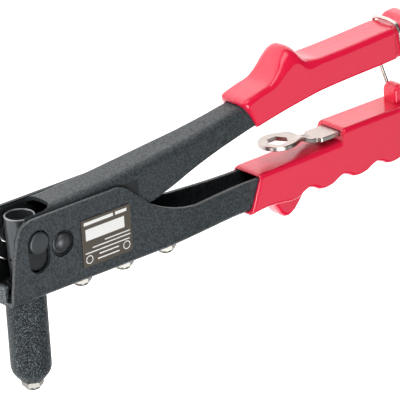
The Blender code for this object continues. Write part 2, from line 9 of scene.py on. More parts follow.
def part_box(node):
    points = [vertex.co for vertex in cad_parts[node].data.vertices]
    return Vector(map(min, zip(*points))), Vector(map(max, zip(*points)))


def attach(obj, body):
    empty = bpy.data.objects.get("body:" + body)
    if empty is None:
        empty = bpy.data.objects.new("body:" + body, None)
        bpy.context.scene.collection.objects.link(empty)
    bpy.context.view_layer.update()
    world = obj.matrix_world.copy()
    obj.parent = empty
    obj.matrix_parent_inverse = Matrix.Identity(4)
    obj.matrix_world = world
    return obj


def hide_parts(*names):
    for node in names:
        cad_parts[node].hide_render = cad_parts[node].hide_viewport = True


bl_info = {
    "name": "Hand riveter",
    "version": (1, 0, 0),
    "blender": (4, 5, 0),
    "location": "View3D > Sidebar > Riveter",
    "description": "Builds the visible pieces of a hand riveter round its packed frame",
    "category": "Object",
}

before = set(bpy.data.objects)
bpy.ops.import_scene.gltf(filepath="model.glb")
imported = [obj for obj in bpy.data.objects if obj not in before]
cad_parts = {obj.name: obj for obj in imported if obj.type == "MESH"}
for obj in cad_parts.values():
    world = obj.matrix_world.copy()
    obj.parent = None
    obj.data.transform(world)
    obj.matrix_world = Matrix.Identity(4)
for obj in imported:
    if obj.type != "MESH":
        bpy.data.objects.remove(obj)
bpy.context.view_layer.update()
MM = 0.001

# Tool axes: millimetres from the nose tip, X towards the grips, Z up the rivet axis, plates at -Y and +Y.
TIP_LOW, TIP_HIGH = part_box("fitted_nosepiece")
NOSE = Vector(((TIP_LOW.x + TIP_HIGH.x) / 2, TIP_LOW.y, (TIP_LOW.z + TIP_HIGH.z) / 2))
TOOL = Matrix.Translation(NOSE) @ Matrix.Rotation(-math.pi / 2, 4, "X") @ Matrix.Scale(MM, 4)
TO_TOOL = TOOL.inverted()

# Places and sizes in tool axes.
WELD = 0.0005                        # points of a skin closer than this are merged
TRUNNION_Z = 82.2                    # height of the exit tube's trunnions
HEAD_X = (-15.1, 66.0)               # both ends of the space inside the head
FRONT_LIP = (-15.0, 62.3, 7.4)       # rear X, top Z and half width of the lip with the coarse coat
GRIP_HALF = 10.5                     # half the width of both grips
GRIP_END = 261.7                     # X of both grips' closed ends
GAP_FRONT = 145.4                    # X of both grips' front edges beside the gap between them
BAIL_X, BAIL_Z = 248.2, 86.2         # where the bail turns
BOSS_Z, BOSS_RADIUS, BOSS_FOOT = 85.0, 4.2, 78.0
HEXAGON_TURN = math.radians(30)      # turn of the wrench's hexagon hole
HEXAGON_ASIDE = -0.6                 # Y of that hole's centre
# From a grip's mouth to its full section: how far back, and how far inside the full outline.
LIP = ((0.0, 1.5), (0.1, 0.95), (0.42, 0.45), (0.95, 0.2), (1.5, 0.16), (1.9, 0.16), (2.2, 0.0))

# Colours that no setting changes.
RUBBED_COAT = (0.23, 0.25, 0.26)
# Painted shade for the coat inside the head, where the plates keep the light off.
INSIDE_SHADE = (0.004, 0.006, 0.006)
# Colour of the painted highlight along the exit tube's rim.
RIM_HIGHLIGHT = (0.32, 0.34, 0.35)


def tool_box(node):
    """A CAD node's lowest and highest corners in tool axes."""
    corners = [TO_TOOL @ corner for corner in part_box(node)]
    low = Vector([min(c[i] for c in corners) for i in range(3)])
    high = Vector([max(c[i] for c in corners) for i in range(3)])
    return low, high


def middle(node):
    """The centre of a CAD node's box in tool axes."""
    low, high = tool_box(node)
    return (low + high) / 2


# ---------------------------------------------------------------- shader maths

class Value:
    """A node socket that takes part in arithmetic; each operation adds its Math node."""

    def __init__(self, shade, socket):
        self.shade = shade
        self.socket = socket

    def _math(self, operation, a, b=0.0):
        return self.shade.node("ShaderNodeMath", {"operation": operation}, {0: a, 1: b})

    def __add__(self, other):
        return self._math("ADD", self, other)

    def __sub__(self, other):
        return self._math("SUBTRACT", self, other)

    def __rsub__(self, other):
        return self._math("SUBTRACT", other, self)

    def __mul__(self, other):
        return self._math("MULTIPLY", self, other)

    def __pow__(self, other):
        return self._math("POWER", self, other)

    def __lt__(self, other):
        return self._math("LESS_THAN", self, other)

    def __gt__(self, other):
        return self._math("GREATER_THAN", self, other)

    def __abs__(self):
        return self._math("ABSOLUTE", self)

    def least(self, other):
        return self._math("MINIMUM", self, other)

    def most(self, other):
        return self._math("MAXIMUM", self, other)


class Shade:
    """A material under construction, with one method for every kind of node."""

    def __init__(self, name):
        self.material = bpy.data.materials.new(name)
        self.material.use_nodes = True
        self.tree = self.material.node_tree
        self.surface = self.tree.nodes["Principled BSDF"]

    def node(self, kind, settings=None, inputs=None, output=0):
        """Add a node and hand back one of its outputs."""
        made = self.tree.nodes.new(kind)
        for key, setting in (settings or {}).items():
            setattr(made, key, setting)
        for key, given in (inputs or {}).items():
            self.feed(made.inputs[key], given)
        return Value(self, made.outputs[output])

    def feed(self, socket, given):
        """Link a value to a socket, or set the socket's own value."""
        if isinstance(given, Value):
            self.tree.links.new(given.socket, socket)
        elif isinstance(given, (tuple, list)) and len(given) == 3 and socket.type == "RGBA":
            socket.default_value = (*given, 1.0)
        else:
            socket.default_value = given

    def principled(self, **given):
        """Feed the surface's sockets, named with _ for a space."""
        for name, value in given.items():
            self.feed(self.surface.inputs[name.replace("_", " ")], value)

    def tool_coordinates(self):
        """Object coordinates in millimetres: as one vector, and as X, Y and Z in tool axes."""
        objects = self.node("ShaderNodeTexCoord", output=3)
        shifted = self.node("ShaderNodeVectorMath", {"operation": "SUBTRACT"}, {0: objects, 1: tuple(NOSE)})
        scaled = self.node("ShaderNodeVectorMath", {"operation": "SCALE"}, {0: shifted, 3: 1 / MM})
        parts = self.tree.nodes.new("ShaderNodeSeparateXYZ")
        self.feed(parts.inputs[0], scaled)
        x, up, side = (Value(self, parts.outputs[i]) for i in range(3))
        return scaled, x, side * -1.0, up

    def noise(self, vector, scale, detail=3.0, roughness=0.55):
        inputs = {"Vector": vector, "Scale": scale, "Detail": detail, "Roughness": roughness}
        return self.node("ShaderNodeTexNoise", {}, inputs)

    def smooth_step(self, value, low, high):
        settings = {"interpolation_type": "SMOOTHSTEP"}
        inputs = {"Value": value, "From Min": low, "From Max": high}
        return self.node("ShaderNodeMapRange", settings, inputs)

    def mix(self, factor, a, b):
        settings = {"data_type": "RGBA"}
        return self.node("ShaderNodeMix", settings, {0: factor, 6: a, 7: b}, output=2)

    def bump(self, height, strength, distance):
        inputs = {"Height": height, "Strength": strength, "Distance": distance}
        return self.node("ShaderNodeBump", {}, inputs)


def powder_coat(name, colour, grain, coarse, inside=None):
    """Textured powder coat: grain is the size of its pebbles in mm, coarse how strongly they stand out.

    Worn edges are paler and the front lip is coarser; inside holds the half width, the low and the high end
    of the sooty space within the head."""
    shade = Shade(name)
    place, x, y, z = shade.tool_coordinates()
    pebbles = shade.noise(place, 1 / grain, 2.0, 0.6)
    fine = shade.noise(place, 2.6 / grain, 2.0)
    drift = shade.noise(place, 0.035, 2.0)
    height = pebbles * 0.7 + fine * 0.3
    lip_x, lip_z, lip_half = FRONT_LIP
    front = (x < lip_x) * (z < lip_z) * (abs(y) < lip_half)
    strength = front.most(coarse)
    light = tuple(min(1.0, c * 2.0) for c in colour)
    dark = tuple(c * 0.5 for c in colour)
    # Colour of the painted glints on the coarse coat's raised specks.
    glint_colour = tuple(min(1.0, c * 9.0) for c in colour)
    tone = shade.mix(shade.smooth_step(height, 0.4, 0.6), dark, light)
    tone = shade.mix(drift * 0.35, tone, tuple(c * 1.25 for c in colour))
    # On the coarse coat, the sunken specks get painted shade and the raised specks painted glints.
    speck = shade.noise(place, 1.75, 1.0, 0.4)
    pit_shade = 1.0 - shade.smooth_step(speck, 0.38, 0.54)
    tone = shade.mix(pit_shade * strength * 0.85, tone, tuple(c * 0.12 for c in colour))
    painted_glints = shade.smooth_step(speck, 0.56, 0.64) * strength
    tone = shade.mix(painted_glints * 0.9, tone, glint_colour)
    edge = shade.node("ShaderNodeAttribute", {"attribute_name": "edge_wear"}, output=2)
    wear = edge * shade.smooth_step(height, 0.3, 0.55)
    tone = shade.mix(wear * 0.75, tone, RUBBED_COAT)
    rough = shade.smooth_step(height, 0.35, 0.7) * -0.16 + 0.54 + drift * 0.08 - wear * 0.16
    if inside:
        half, low, top = inside
        # Painted shade: the coat goes near black inside the head, between the plates.
        inside_shade = (abs(y) < half) * (z > low) * (z < top) * (x > HEAD_X[0]) * (x < HEAD_X[1])
        tone = shade.mix(inside_shade * 0.82, tone, INSIDE_SHADE)
        rough = rough + inside_shade * 0.15
    relief = height + speck * strength * 0.8
    normal = shade.bump(relief, 0.5 + 0.4 * coarse, 0.00018 * (1 + coarse))
    shade.principled(Base_Color=tone, Roughness=rough, Normal=normal, Specular_IOR_Level=0.5 - 0.28 * coarse)
    return shade.material


def moulded_vinyl(name, colour):
    """Glossy soft plastic, a little cloudy and rippled, with the mould's seam along the tops."""
    shade = Shade(name)
    place, _, y, z = shade.tool_coordinates()
    cloud = shade.noise(place, 0.06, 2.0)
    skin = shade.noise(place, 1.7, 2.0)
    ripple = shade.noise(place, 0.18, 1.0)
    deep = tuple(c * k for c, k in zip(colour, (0.94, 0.7, 0.8)))
    base = shade.mix(cloud * 0.5, colour, deep)
    seam = (1.0 - shade.smooth_step(abs(y), 0.0, 0.35)) * (z > 71.0)
    base = shade.mix(seam * 0.45, base, tuple(c * 0.72 for c in colour))
    rough = skin * 0.07 + ripple * 0.05 + 0.19 + seam * 0.1
    normal = shade.bump(skin * 0.2 + ripple - seam * 0.5, 0.12, 0.0004)
    shade.principled(Base_Color=base, Roughness=rough, Normal=normal, Coat_Weight=0.35, Coat_Roughness=0.08,
                     Subsurface_Weight=0.12, Subsurface_Scale=0.002, Specular_IOR_Level=0.55)
    shade.surface.inputs["Subsurface Radius"].default_value = (1.0, 0.12, 0.1)
    return shade.material


def plated(name, colour, roughness, scratched=0.06, joggle=None):
    """Bright plate with fine scratches and a faint cloudiness; a joggle between two X places is grimy."""
    shade = Shade(name)
    place, x, y, _ = shade.tool_coordinates()
    stretched = shade.node("ShaderNodeMapping", {}, {"Vector": place, "Scale": (0.35, 6.0, 6.0)})
    scratches = shade.noise(stretched, 1.5, 4.0, 0.7)
    cloud = shade.noise(place, 0.22, 3.0)
    tone = shade.mix(cloud * 0.6, colour, tuple(c * 0.84 for c in colour))
    rough = shade.smooth_step(scratches, 0.4, 0.75) * 0.12 + cloud * 0.1 + (roughness - 0.05)
    if joggle:
        start, end = joggle
        fade = 5.0
        # Painted dark reflection across the joggle, stronger towards the far side.
        joggle_reflection = shade.smooth_step(x, start, start + fade) * (1.0 - shade.smooth_step(x, end - fade, end))
        joggle_reflection = joggle_reflection * shade.smooth_step(y, -3.5, 2.5)
        tone = shade.mix(joggle_reflection * 0.85, tone, tuple(c * 0.2 for c in colour))
    normal = shade.bump(scratches, scratched, 0.0001)
    shade.principled(Base_Color=tone, Roughness=rough, Metallic=1.0, Normal=normal)
    return shade.material


def dark_steel(name, colour, roughness, metal=0.85, rim=None):
    """Oiled steel with a soft turned or ground grain, rubbed bright near the rim's height."""
    shade = Shade(name)
    place, _, _, z = shade.tool_coordinates()
    grain = shade.noise(place, 1.6, 4.0, 0.65)
    smear = shade.noise(place, 0.12, 2.0)
    tone = shade.mix(smear, tuple(c * 0.7 for c in colour), tuple(min(1.0, c * 1.35) for c in colour))
    if rim:
        # Painted highlight: a pale band just below the rim's height.
        bright = shade.smooth_step(z, rim - 0.75, rim - 0.35)
        tone = shade.mix(bright * 0.8, tone, RIM_HIGHLIGHT)
    rough = grain * 0.16 + smear * 0.08 + (roughness - 0.1)
    normal = shade.bump(grain, 0.1, 0.0001)
    shade.principled(Base_Color=tone, Roughness=rough, Metallic=metal, Normal=normal)
    return shade.material


# ---------------------------------------------------------------- mesh helpers

def smooth_curve(points):
    """A function through a few (x, value) points, with no overshoot between them."""
    chords = [(v1 - v0) / (x1 - x0) for (x0, v0), (x1, v1) in zip(points, points[1:])]
    slopes = [chords[0]]
    for before, after in zip(chords, chords[1:]):
        slopes.append(2 * before * after / (before + after) if before * after > 0 else 0.0)
    slopes.append(chords[-1])

    def value(x):
        if x <= points[0][0]:
            return points[0][1]
        for i, ((x0, v0), (x1, v1)) in enumerate(zip(points, points[1:])):
            if x <= x1:
                width = x1 - x0
                t = (x - x0) / width
                start, leave = 2 * t ** 3 - 3 * t ** 2 + 1, t ** 3 - 2 * t ** 2 + t
                end, arrive = -2 * t ** 3 + 3 * t ** 2, t ** 3 - t ** 2
                return start * v0 + leave * width * slopes[i] + end * v1 + arrive * width * slopes[i + 1]
        return points[-1][1]
    return value


def steps(low, high, count):
    """Evenly spaced values from low to high, both included."""
    return [low + (high - low) * i / count for i in range(count + 1)]


def skin(rings):
    """A closed skin through rings of points: a grid is laid over them and its seam and ends are merged."""
    around, along = len(rings[0]), len(rings)
    bm = bmesh.new()
    bmesh.ops.create_grid(bm, x_segments=around, y_segments=along - 1, size=1.0)
    for vert in bm.verts:
        i = round((vert.co.x + 1) / 2 * around) % around
        j = round((vert.co.y + 1) / 2 * (along - 1))
        vert.co = rings[j][i]
    bmesh.ops.remove_doubles(bm, verts=bm.verts, dist=WELD)
    bmesh.ops.recalc_face_normals(bm, faces=bm.faces)
    return bm


def spun(profile, count=96):
    """A turned body about tool Z; the (r, z) profile closes on itself or on the axis."""
    bm = bmesh.new()
    verts = [bm.verts.new((r, 0.0, z)) for r, z in profile]
    edges = [bm.edges.new(pair) for pair in zip(verts, verts[1:])]
    if profile[0][0] > 0 and profile[-1][0] > 0:
        edges.append(bm.edges.new((verts[-1], verts[0])))
    bmesh.ops.spin(bm, geom=verts + edges, cent=(0, 0, 0), axis=(0, 0, 1), angle=2 * math.pi, steps=count,
                   use_merge=True)
    bmesh.ops.remove_doubles(bm, verts=bm.verts, dist=WELD)
    bmesh.ops.recalc_face_normals(bm, faces=bm.faces)
    return bm


def bevel_sharp(bm, width):
    """Ease the edges sharper than 30 degrees, and mark the new faces as worn."""
    worn = bm.faces.layers.float.new("edge_wear")
    sharp = [e for e in bm.edges if e.is_manifold and e.calc_face_angle(0) > math.radians(30)]
    eased = bmesh.ops.bevel(bm, geom=sharp, offset=width, offset_type="OFFSET", affect="EDGES",
                            segments=2, profile=0.5, material=-1, clamp_overlap=True)
    for face in eased["faces"]:
        face[worn] = 1.0


def arc(centre, radius, start, end, count):
    """Points (r, z) along an arc between two angles in degrees."""
    return [(centre[0] + radius * math.cos(math.radians(a)), centre[1] + radius * math.sin(math.radians(a)))
            for a in steps(start, end, count)]


def piece(bm, name, material, body, *nodes, slot, smooth=35):
    """Turn a bmesh in tool axes into a finished piece that rides on a body and stands for CAD nodes."""
    mesh = bpy.data.meshes.new(name)
    bm.to_mesh(mesh)
    bm.free()
    mesh.transform(TOOL)
    mesh.materials.append(material)
    obj = bpy.data.objects.new(name, mesh)
    bpy.context.scene.collection.objects.link(obj)
    mesh.shade_smooth()
    mesh.set_sharp_from_angle(angle=math.radians(smooth))
    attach(obj, body)
    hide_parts(*nodes)
    return obj


def weigh_normals(obj):
    """Keep large flat faces flat to the eye beside their eased edges."""
    step = obj.modifiers.new("flat_faces", "WEIGHTED_NORMAL")
    step.keep_sharp = True
    step.weight = 100


def refinish(node, material):
    """Give a CAD node that is shown as it is a better material."""
    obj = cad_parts[node]
    for holder in obj.material_slots:
        holder.material = material


def baked(bm, *tools, operation="DIFFERENCE"):
    """A bmesh after Booleans with other bmeshes, each applied at once."""
    def as_object(source, name):
        mesh = bpy.data.meshes.new(name)
        source.to_mesh(mesh)
        source.free()
        obj = bpy.data.objects.new(name, mesh)
        bpy.context.scene.collection.objects.link(obj)
        return obj
    target = as_object(bm, "target")
    cutters = [as_object(tool, "tool") for tool in tools]
    for cutter in cutters:
        step = target.modifiers.new("cut", "BOOLEAN")
        step.operation = operation
        step.solver = "EXACT"
        step.object = cutter
    result = bpy.data.meshes.new_from_object(target.evaluated_get(bpy.context.evaluated_depsgraph_get()))
    out = bmesh.new()
    out.from_mesh(result)
    for obj in [target, *cutters]:
        mesh = obj.data
        bpy.data.objects.remove(obj)
        bpy.data.meshes.remove(mesh)
    bpy.data.meshes.remove(result)
    return out


def block(low, high):
    """A box between two corners."""
    bm = bmesh.new()
    bmesh.ops.create_cube(bm, size=1.0)
    low, high = Vector(low), Vector(high)
    centre, size = (low + high) / 2, high - low
    bmesh.ops.transform(bm, matrix=Matrix.Translation(centre) @ Matrix.Diagonal((*size, 1.0)), verts=bm.verts)
    return bm


def rod(radius, low, high, axis, centre, count=48):
    """A cylinder between two places along an axis named X or Z."""
    bm = bmesh.new()
    bmesh.ops.create_cone(bm, cap_ends=True, segments=count, radius1=radius, radius2=radius, depth=high - low)
    halfway = (low + high) / 2
    a, b = centre
    turn, spot = {"X": (Matrix.Rotation(math.pi / 2, 4, "Y"), (halfway, a, b)),
                  "Z": (Matrix.Identity(4), (a, b, halfway))}[axis]
    bmesh.ops.transform(bm, matrix=Matrix.Translation(spot) @ turn, verts=bm.verts)
    return bm


def refined(node, width):
    """A CAD node's own shape in tool axes, with its triangles joined into faces and its edges eased."""
    bm = bmesh.new()
    bm.from_mesh(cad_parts[node].data)
    bmesh.ops.transform(bm, matrix=TO_TOOL, verts=bm.verts)
    bmesh.ops.remove_doubles(bm, verts=bm.verts, dist=0.001)
    bmesh.ops.dissolve_limit(bm, angle_limit=math.radians(1.0), verts=bm.verts, edges=bm.edges)
    bevel_sharp(bm, width)
    return bm


def merged(bm, *others):
    """One bmesh holding several closed skins."""
    for other in others:
        mesh = bpy.data.meshes.new("part")
        other.to_mesh(mesh)
        other.free()
        bm.from_mesh(mesh)
        bpy.data.meshes.remove(mesh)
    return bm


def turned_to_side(bm, x, z):
    """Turn a body spun about tool Z so that its axis lies along tool Y through (x, z)."""
    bmesh.ops.transform(bm, matrix=Matrix.Translation((x, 0, z)) @ Matrix.Rotation(math.pi / 2, 4, "X"),
                        verts=bm.verts)
    return bm


def tube(path, radius, count=20):
    """A round wire along a path of points in tool axes, closed at both ends."""
    points = [Vector(p) for p in path]
    rings = [[points[0]] * count]
    side = None
    for i, point in enumerate(points):
        along = (points[min(i + 1, len(points) - 1)] - points[max(i - 1, 0)]).normalized()
        if side is None:
            side = along.orthogonal().normalized()
        side = (side - along * side.dot(along)).normalized()
        other = along.cross(side)
        rings.append([point + (side * math.cos(a) + other * math.sin(a)) * radius
                      for a in (2 * math.pi * k / count for k in range(count))])
    rings.append([points[-1]] * count)
    return skin(rings)


def rounded_corners(corners, radius, count=8):
    """The points of a line whose corners are replaced with arcs."""
    points = [Vector(corners[0])]
    for before, corner, after in zip(corners, corners[1:], corners[2:]):
        corner = Vector(corner)
        back, on = (Vector(before) - corner).normalized(), (Vector(after) - corner).normalized()
        half = back.angle(on) / 2
        reach = radius / math.tan(half)
        centre = corner + (back + on).normalized() * (radius / math.sin(half))
        first, last = corner + back * reach - centre, corner + on * reach - centre
        for t in steps(0, 1, count):
            points.append(centre + first.slerp(last, t) if first.angle(last) > 0.01 else centre + first)
    points.append(Vector(corners[-1]))
    return points


# ---------------------------------------------------------------- frame and lever

def frame_plates(finish):
    """The folded frame, with eased and worn edges."""
    bm = refined("frame_channel", 0.35)
    plates = piece(bm, "frame_plates", finish["powder_coat"], "frame", "frame_channel", slot="powder_coat")
    weigh_normals(plates)


def lever_arm(finish):
    """The folded lever, with eased and worn edges."""
    bm = refined("lever", 0.3)
    arm = piece(bm, "lever_arm", finish["lever_coat"], "lever", "lever", slot="powder_coat")
    weigh_normals(arm)


def barrel(finish):
    """The turned barrel with its rounded nose, its neck in the frame's web and its bore."""
    low, high = tool_box("nose_barrel")
    shoulder, neck, radius, hole, bore = high.z - 6.3, 9.0, 10.3, 3.6, 7.5
    outside = [(neck, high.z), (neck, shoulder + 0.3), (radius - 0.1, shoulder + 0.3), (radius, shoulder),
               (radius, 30.0), (radius, 13.4)]
    outside += [(10.2, 12.2), (9.95, 11.0), (9.55, 9.9), (9.05, 9.0), (8.1, 7.7), (7.1, 6.5), (6.4, 5.6),
                (6.1, 5.2), (5.8, low.z), (hole, low.z)]
    inside = [(hole, 11.0), (bore, 11.4), (bore, high.z)]
    bm = spun(outside + inside)
    piece(bm, "nose_barrel_coated", finish["cast_coat"], "frame", "nose_barrel", slot="powder_coat",
          smooth=40)


def nosepiece(x, drop):
    """One nosepiece: a domed tip with its bore, and a hexagon with chamfered corners under a shank."""
    tip_r, tip_h, bore, hex_h, hex_wide, shank = 4.0, 2.0, 1.75, 2.6, 9.8, 3.2
    top = tip_h + hex_h
    profile = [(bore, top + 6.6), (bore, 0.45), (bore + 0.3, 0.12), (bore + 0.6, 0.0), (tip_r - 1.2, 0.0)]
    profile += arc((tip_r - 1.2, 1.2), 1.2, 270, 360, 6)
    profile += [(tip_r, tip_h + 0.3), (shank, tip_h + 0.3), (shank, top + 6.3), (shank - 0.3, top + 6.6)]
    stem = spun(profile, 64)
    hexagon = bmesh.new()
    corner = hex_wide / math.sqrt(3)
    bmesh.ops.create_cone(hexagon, cap_ends=True, segments=6, radius1=corner, radius2=corner, depth=hex_h)
    bmesh.ops.translate(hexagon, verts=hexagon.verts, vec=(0, 0, tip_h + hex_h / 2))
    chamfer = spun([(0, tip_h), (4.9, tip_h), (5.7, tip_h + 0.5), (5.7, top - 0.3), (5.2, top), (0, top)], 64)
    hexagon = baked(hexagon, chamfer, operation="INTERSECT")
    bm = baked(hexagon, rod(shank - 0.1, -1, top + 1, "Z", (0, 0)))
    bm = merged(bm, stem)
    bmesh.ops.translate(bm, verts=bm.verts, vec=(x, 0, drop))
    return bm


def nosepieces(finish):
    """The nosepiece in the barrel and the three spares, all of one shape."""
    for node in ("fitted_nosepiece", "spare_nosepiece_1", "spare_nosepiece_2", "spare_nosepiece_3"):
        low, high = tool_box(node)
        bm = nosepiece((low.x + high.x) / 2, low.z)
        made = piece(bm, f"{node}_plated", finish["dull_nickel"], "frame", node, slot="nickel", smooth=28)
        weigh_normals(made)


def pivot_pin(finish):
    """The pin's body, sunk a little below the plates, with a dome on each end a little off its axis."""
    low, high = tool_box("pivot_pin")
    centre, half, radius = (low + high) / 2, (high.y - low.y) / 2, (high.x - low.x) / 2
    sunk, dome_r = half - 2.9, radius - 0.75
    aside, above = 0.3, 0.6
    profile = [(0, sunk), (radius - 0.4, sunk), (radius - 0.1, sunk - 0.12), (radius, sunk - 0.4)]
    profile += [(r, -z) for r, z in reversed(profile)]
    bm = turned_to_side(spun(profile), centre.x, centre.z)
    for side in (-1, 1):
        rise = half - sunk + 0.3
        dome = [(dome_r * math.sin(a), rise * math.cos(a) ** 0.8) for a in steps(0, math.pi / 2, 16)]
        end = spun(dome + [(0, 0)])
        turn = Matrix.Rotation(-side * math.pi / 2, 4, "X")
        spot = Matrix.Translation((centre.x + aside, side * (sunk - 0.3), centre.z + above))
        bmesh.ops.transform(end, matrix=spot @ turn, verts=end.verts)
        bm = merged(bm, end)
    piece(bm, "pivot_pin_domed", finish["pin_steel"], "frame", "pivot_pin", slot="dark_steel", smooth=50)
    for node in ("pivot_bush_near", "pivot_bush_far", "barrel_collar"):
        refinish(node, finish["dark_steel"])


def label(finish):
    """The label's film, with rounded corners."""
    low, high = tool_box("label_plate")
    size = high - low
    bm = block(-size / 2, size / 2)
    upright = [e for e in bm.edges if abs(e.verts[0].co.y - e.verts[1].co.y) > 0.1]
    bmesh.ops.bevel(bm, geom=upright, offset=0.8, affect="EDGES", segments=5, profile=0.5, material=-1)
    bmesh.ops.translate(bm, vec=(low + high) / 2, verts=bm.verts)
    piece(bm, "label_film_printed", finish["label"], "frame", "label_plate", slot="label_film", smooth=20)


def printed_label(name, film, ink):
    """Film with a plain band, ruled bars and two rings; it carries no lettering."""
    shade = Shade(name)
    place, x, _, z = shade.tool_coordinates()
    spot = middle("label_plate")
    u, v = x - spot.x, z - spot.z

    def bar(centre_u, centre_v, half_u, half_v):
        return (abs(u - centre_u) < half_u) * (abs(v - centre_v) < half_v)

    def ring(centre_u, centre_v, radius, half_line=0.24):
        across, along = u - centre_u, v - centre_v
        return abs((across * across + along * along) ** 0.5 - radius) < half_line

    marks = bar(-0.9, 4.2, 12.2, 3.0) + ring(-11.6, -8.9, 2.0) + ring(11.9, -8.6, 2.0)
    for centre_u, centre_v, half_u, half_v in ((-4.6, 10.2, 9.2, 0.85), (9.6, 10.2, 3.6, 0.85),
                                               (6.5, -1.3, 8.0, 0.3), (2.6, -3.2, 12.0, 0.3),
                                               (0.0, -5.4, 14.0, 0.3), (0.8, -7.6, 6.2, 0.34),
                                               (0.3, -10.0, 6.8, 0.34)):
        marks = marks + bar(centre_u, centre_v, half_u, half_v)
    marks = marks.least(1.0)
    dust = shade.noise(place, 0.6, 3.0)
    grain = shade.noise(place, 1.9, 2.0)
    tone = shade.mix(marks * 0.92, shade.mix(dust, film, tuple(c * 1.35 for c in film)), ink)
    rough = dust * 0.2 + 0.35 - marks * 0.08
    normal = shade.bump(marks + grain * 0.5, 0.2, 0.00005)
    shade.principled(Base_Color=tone, Roughness=rough, Normal=normal)
    return shade.material


# ---------------------------------------------------------------- jaw train

def exit_tube(finish):
    """The flared tube with its cross hole, and the two trunnions in the frame's slots."""
    low, high = tool_box("exit_tube")
    top, reach, radius, root = high.z, high.y, 5.7, 7.0
    outside = [(6.2, low.z), (6.2, 60.2), (6.75, 62.0), (7.0, 67.0), (7.25, 72.0), (7.4, 80.0), (7.6, 88.0),
               (7.72, top - 1.6), (7.76, top - 0.5), (7.7, top - 0.15), (7.5, top)]
    inside = [(7.15, top), (6.95, top - 0.2), (6.85, top - 0.8), (6.7, 84.0), (6.4, 72.0), (5.9, 63.0),
              (3.6, 57.5), (2.05, low.z)]
    turned = baked(spun(outside + inside), rod(0.9, -20, 0, "X", (0, 71.5), 24))
    stubs = []
    for side in (-1, 1):
        end = [(0, reach), (4.9, reach), (5.3, reach - 0.08), (5.6, reach - 0.35), (radius, reach - 0.8),
               (radius, root), (0, root)]
        stub = spun(end, 64)
        turn = Matrix.Translation((0, 0, TRUNNION_Z)) @ Matrix.Rotation(-side * math.pi / 2, 4, "X")
        bmesh.ops.transform(stub, matrix=turn, verts=stub.verts)
        stubs.append(stub)
    piece(merged(turned, *stubs), "exit_tube_turned", finish["tube_steel"], "jaw_carriage", "exit_tube",
          slot="dark_steel", smooth=40)


def jaw_train(finish):
    """The exit tube, and the finishes of the parts that work inside the barrel."""
    exit_tube(finish)
    for node in ("tube_lock_nut", "jaw_case", "jaw_pusher"):
        refinish(node, finish["dark_steel"])
    for node in ("jaw_1", "jaw_2", "jaw_3", "jaw_spring"):
        refinish(node, finish["bright_steel"])


# ---------------------------------------------------------------- grips

def grip_ring(foot, head, half, edge_low, edge_high, ledge=0.0, count=6):
    """Points round a grip's section, in the slanted plane through foot and head, both (x, z).

    A ledge sets the top and its rounded edges in a little from the flat sides."""
    (x0, z0), (x1, z1) = foot, head
    ring = []

    def add(y, z):
        ring.append(Vector((x0 + (x1 - x0) * (z - z0) / (z1 - z0), y, z)))

    for side, up, start in ((1, 1, 0), (-1, 1, 90), (-1, -1, 180), (1, -1, 270)):
        edge = min(edge_high if up > 0 else edge_low, half * 0.96, (z1 - z0) * 0.48)
        y = side * (half - edge - (ledge if up > 0 else 0.0))
        z = z1 - edge if up > 0 else z0 + edge
        if start == 0:
            add(half, z - 0.3)
        for a in steps(start, start + 90, count):
            add(y + edge * math.cos(math.radians(a)), z + edge * math.sin(math.radians(a)))
        if start == 90:
            add(-half, z - 0.3)
    return ring


def centre_of(ring):
    """The mean of a ring's points."""
    return sum(ring, Vector()) / len(ring)


def grip_skin(front, back, under, over, half, edge, pocket, stations):
    """A grip: its outside from the front lip to the closed end, and the recess behind the lip.

    front and back hold (foot x, head x); under and over give the outline in Z; edge holds the rounding of the
    lower and the upper edges; pocket is (half, low, high, depth, lower rounding, upper rounding)."""

    def ring_at(u, inset=0.0, shift=0.0):
        foot_x = front[0] + (back[0] - front[0]) * u + shift
        head_x = front[1] + (back[1] - front[1]) * u + shift
        low, high = under(foot_x) + inset * 0.5, over(head_x) - inset
        edge_low = max(0.3, edge[0](foot_x) - inset * 0.5)
        edge_high = max(0.3, edge[1](head_x) - inset * 0.5)
        return grip_ring((foot_x, low), (head_x, high), half(head_x) - inset * 0.5, edge_low, edge_high, 0.16)

    hole_half, hole_low, hole_high, depth, round_low, round_high = pocket

    def inner(shift):
        foot, head = (front[0] + shift, hole_low), (front[1] + shift, hole_high)
        return grip_ring(foot, head, hole_half, round_low, round_high)

    rings = [[centre_of(inner(depth))] * len(inner(depth))]
    rings += [inner(shift) for shift in (depth, 3.0, 0.5, 0.12)]
    rings.append([p.lerp(q, 0.2) for p, q in zip(inner(-0.02), ring_at(0, LIP[0][1], 0.0))])
    rings += [ring_at(0, inset, shift) for shift, inset in LIP]
    rings += [ring_at(u) for u in stations]
    rings += [ring_at(1, inset, shift - 1.3) for inset, shift in ((0.35, 0.5), (1.0, 0.95), (2.0, 1.25))]
    rings.append([centre_of(rings[-1])] * len(rings[-1]))
    return skin(rings)


def even(value):
    """A curve that has the same value everywhere."""
    return lambda x: value


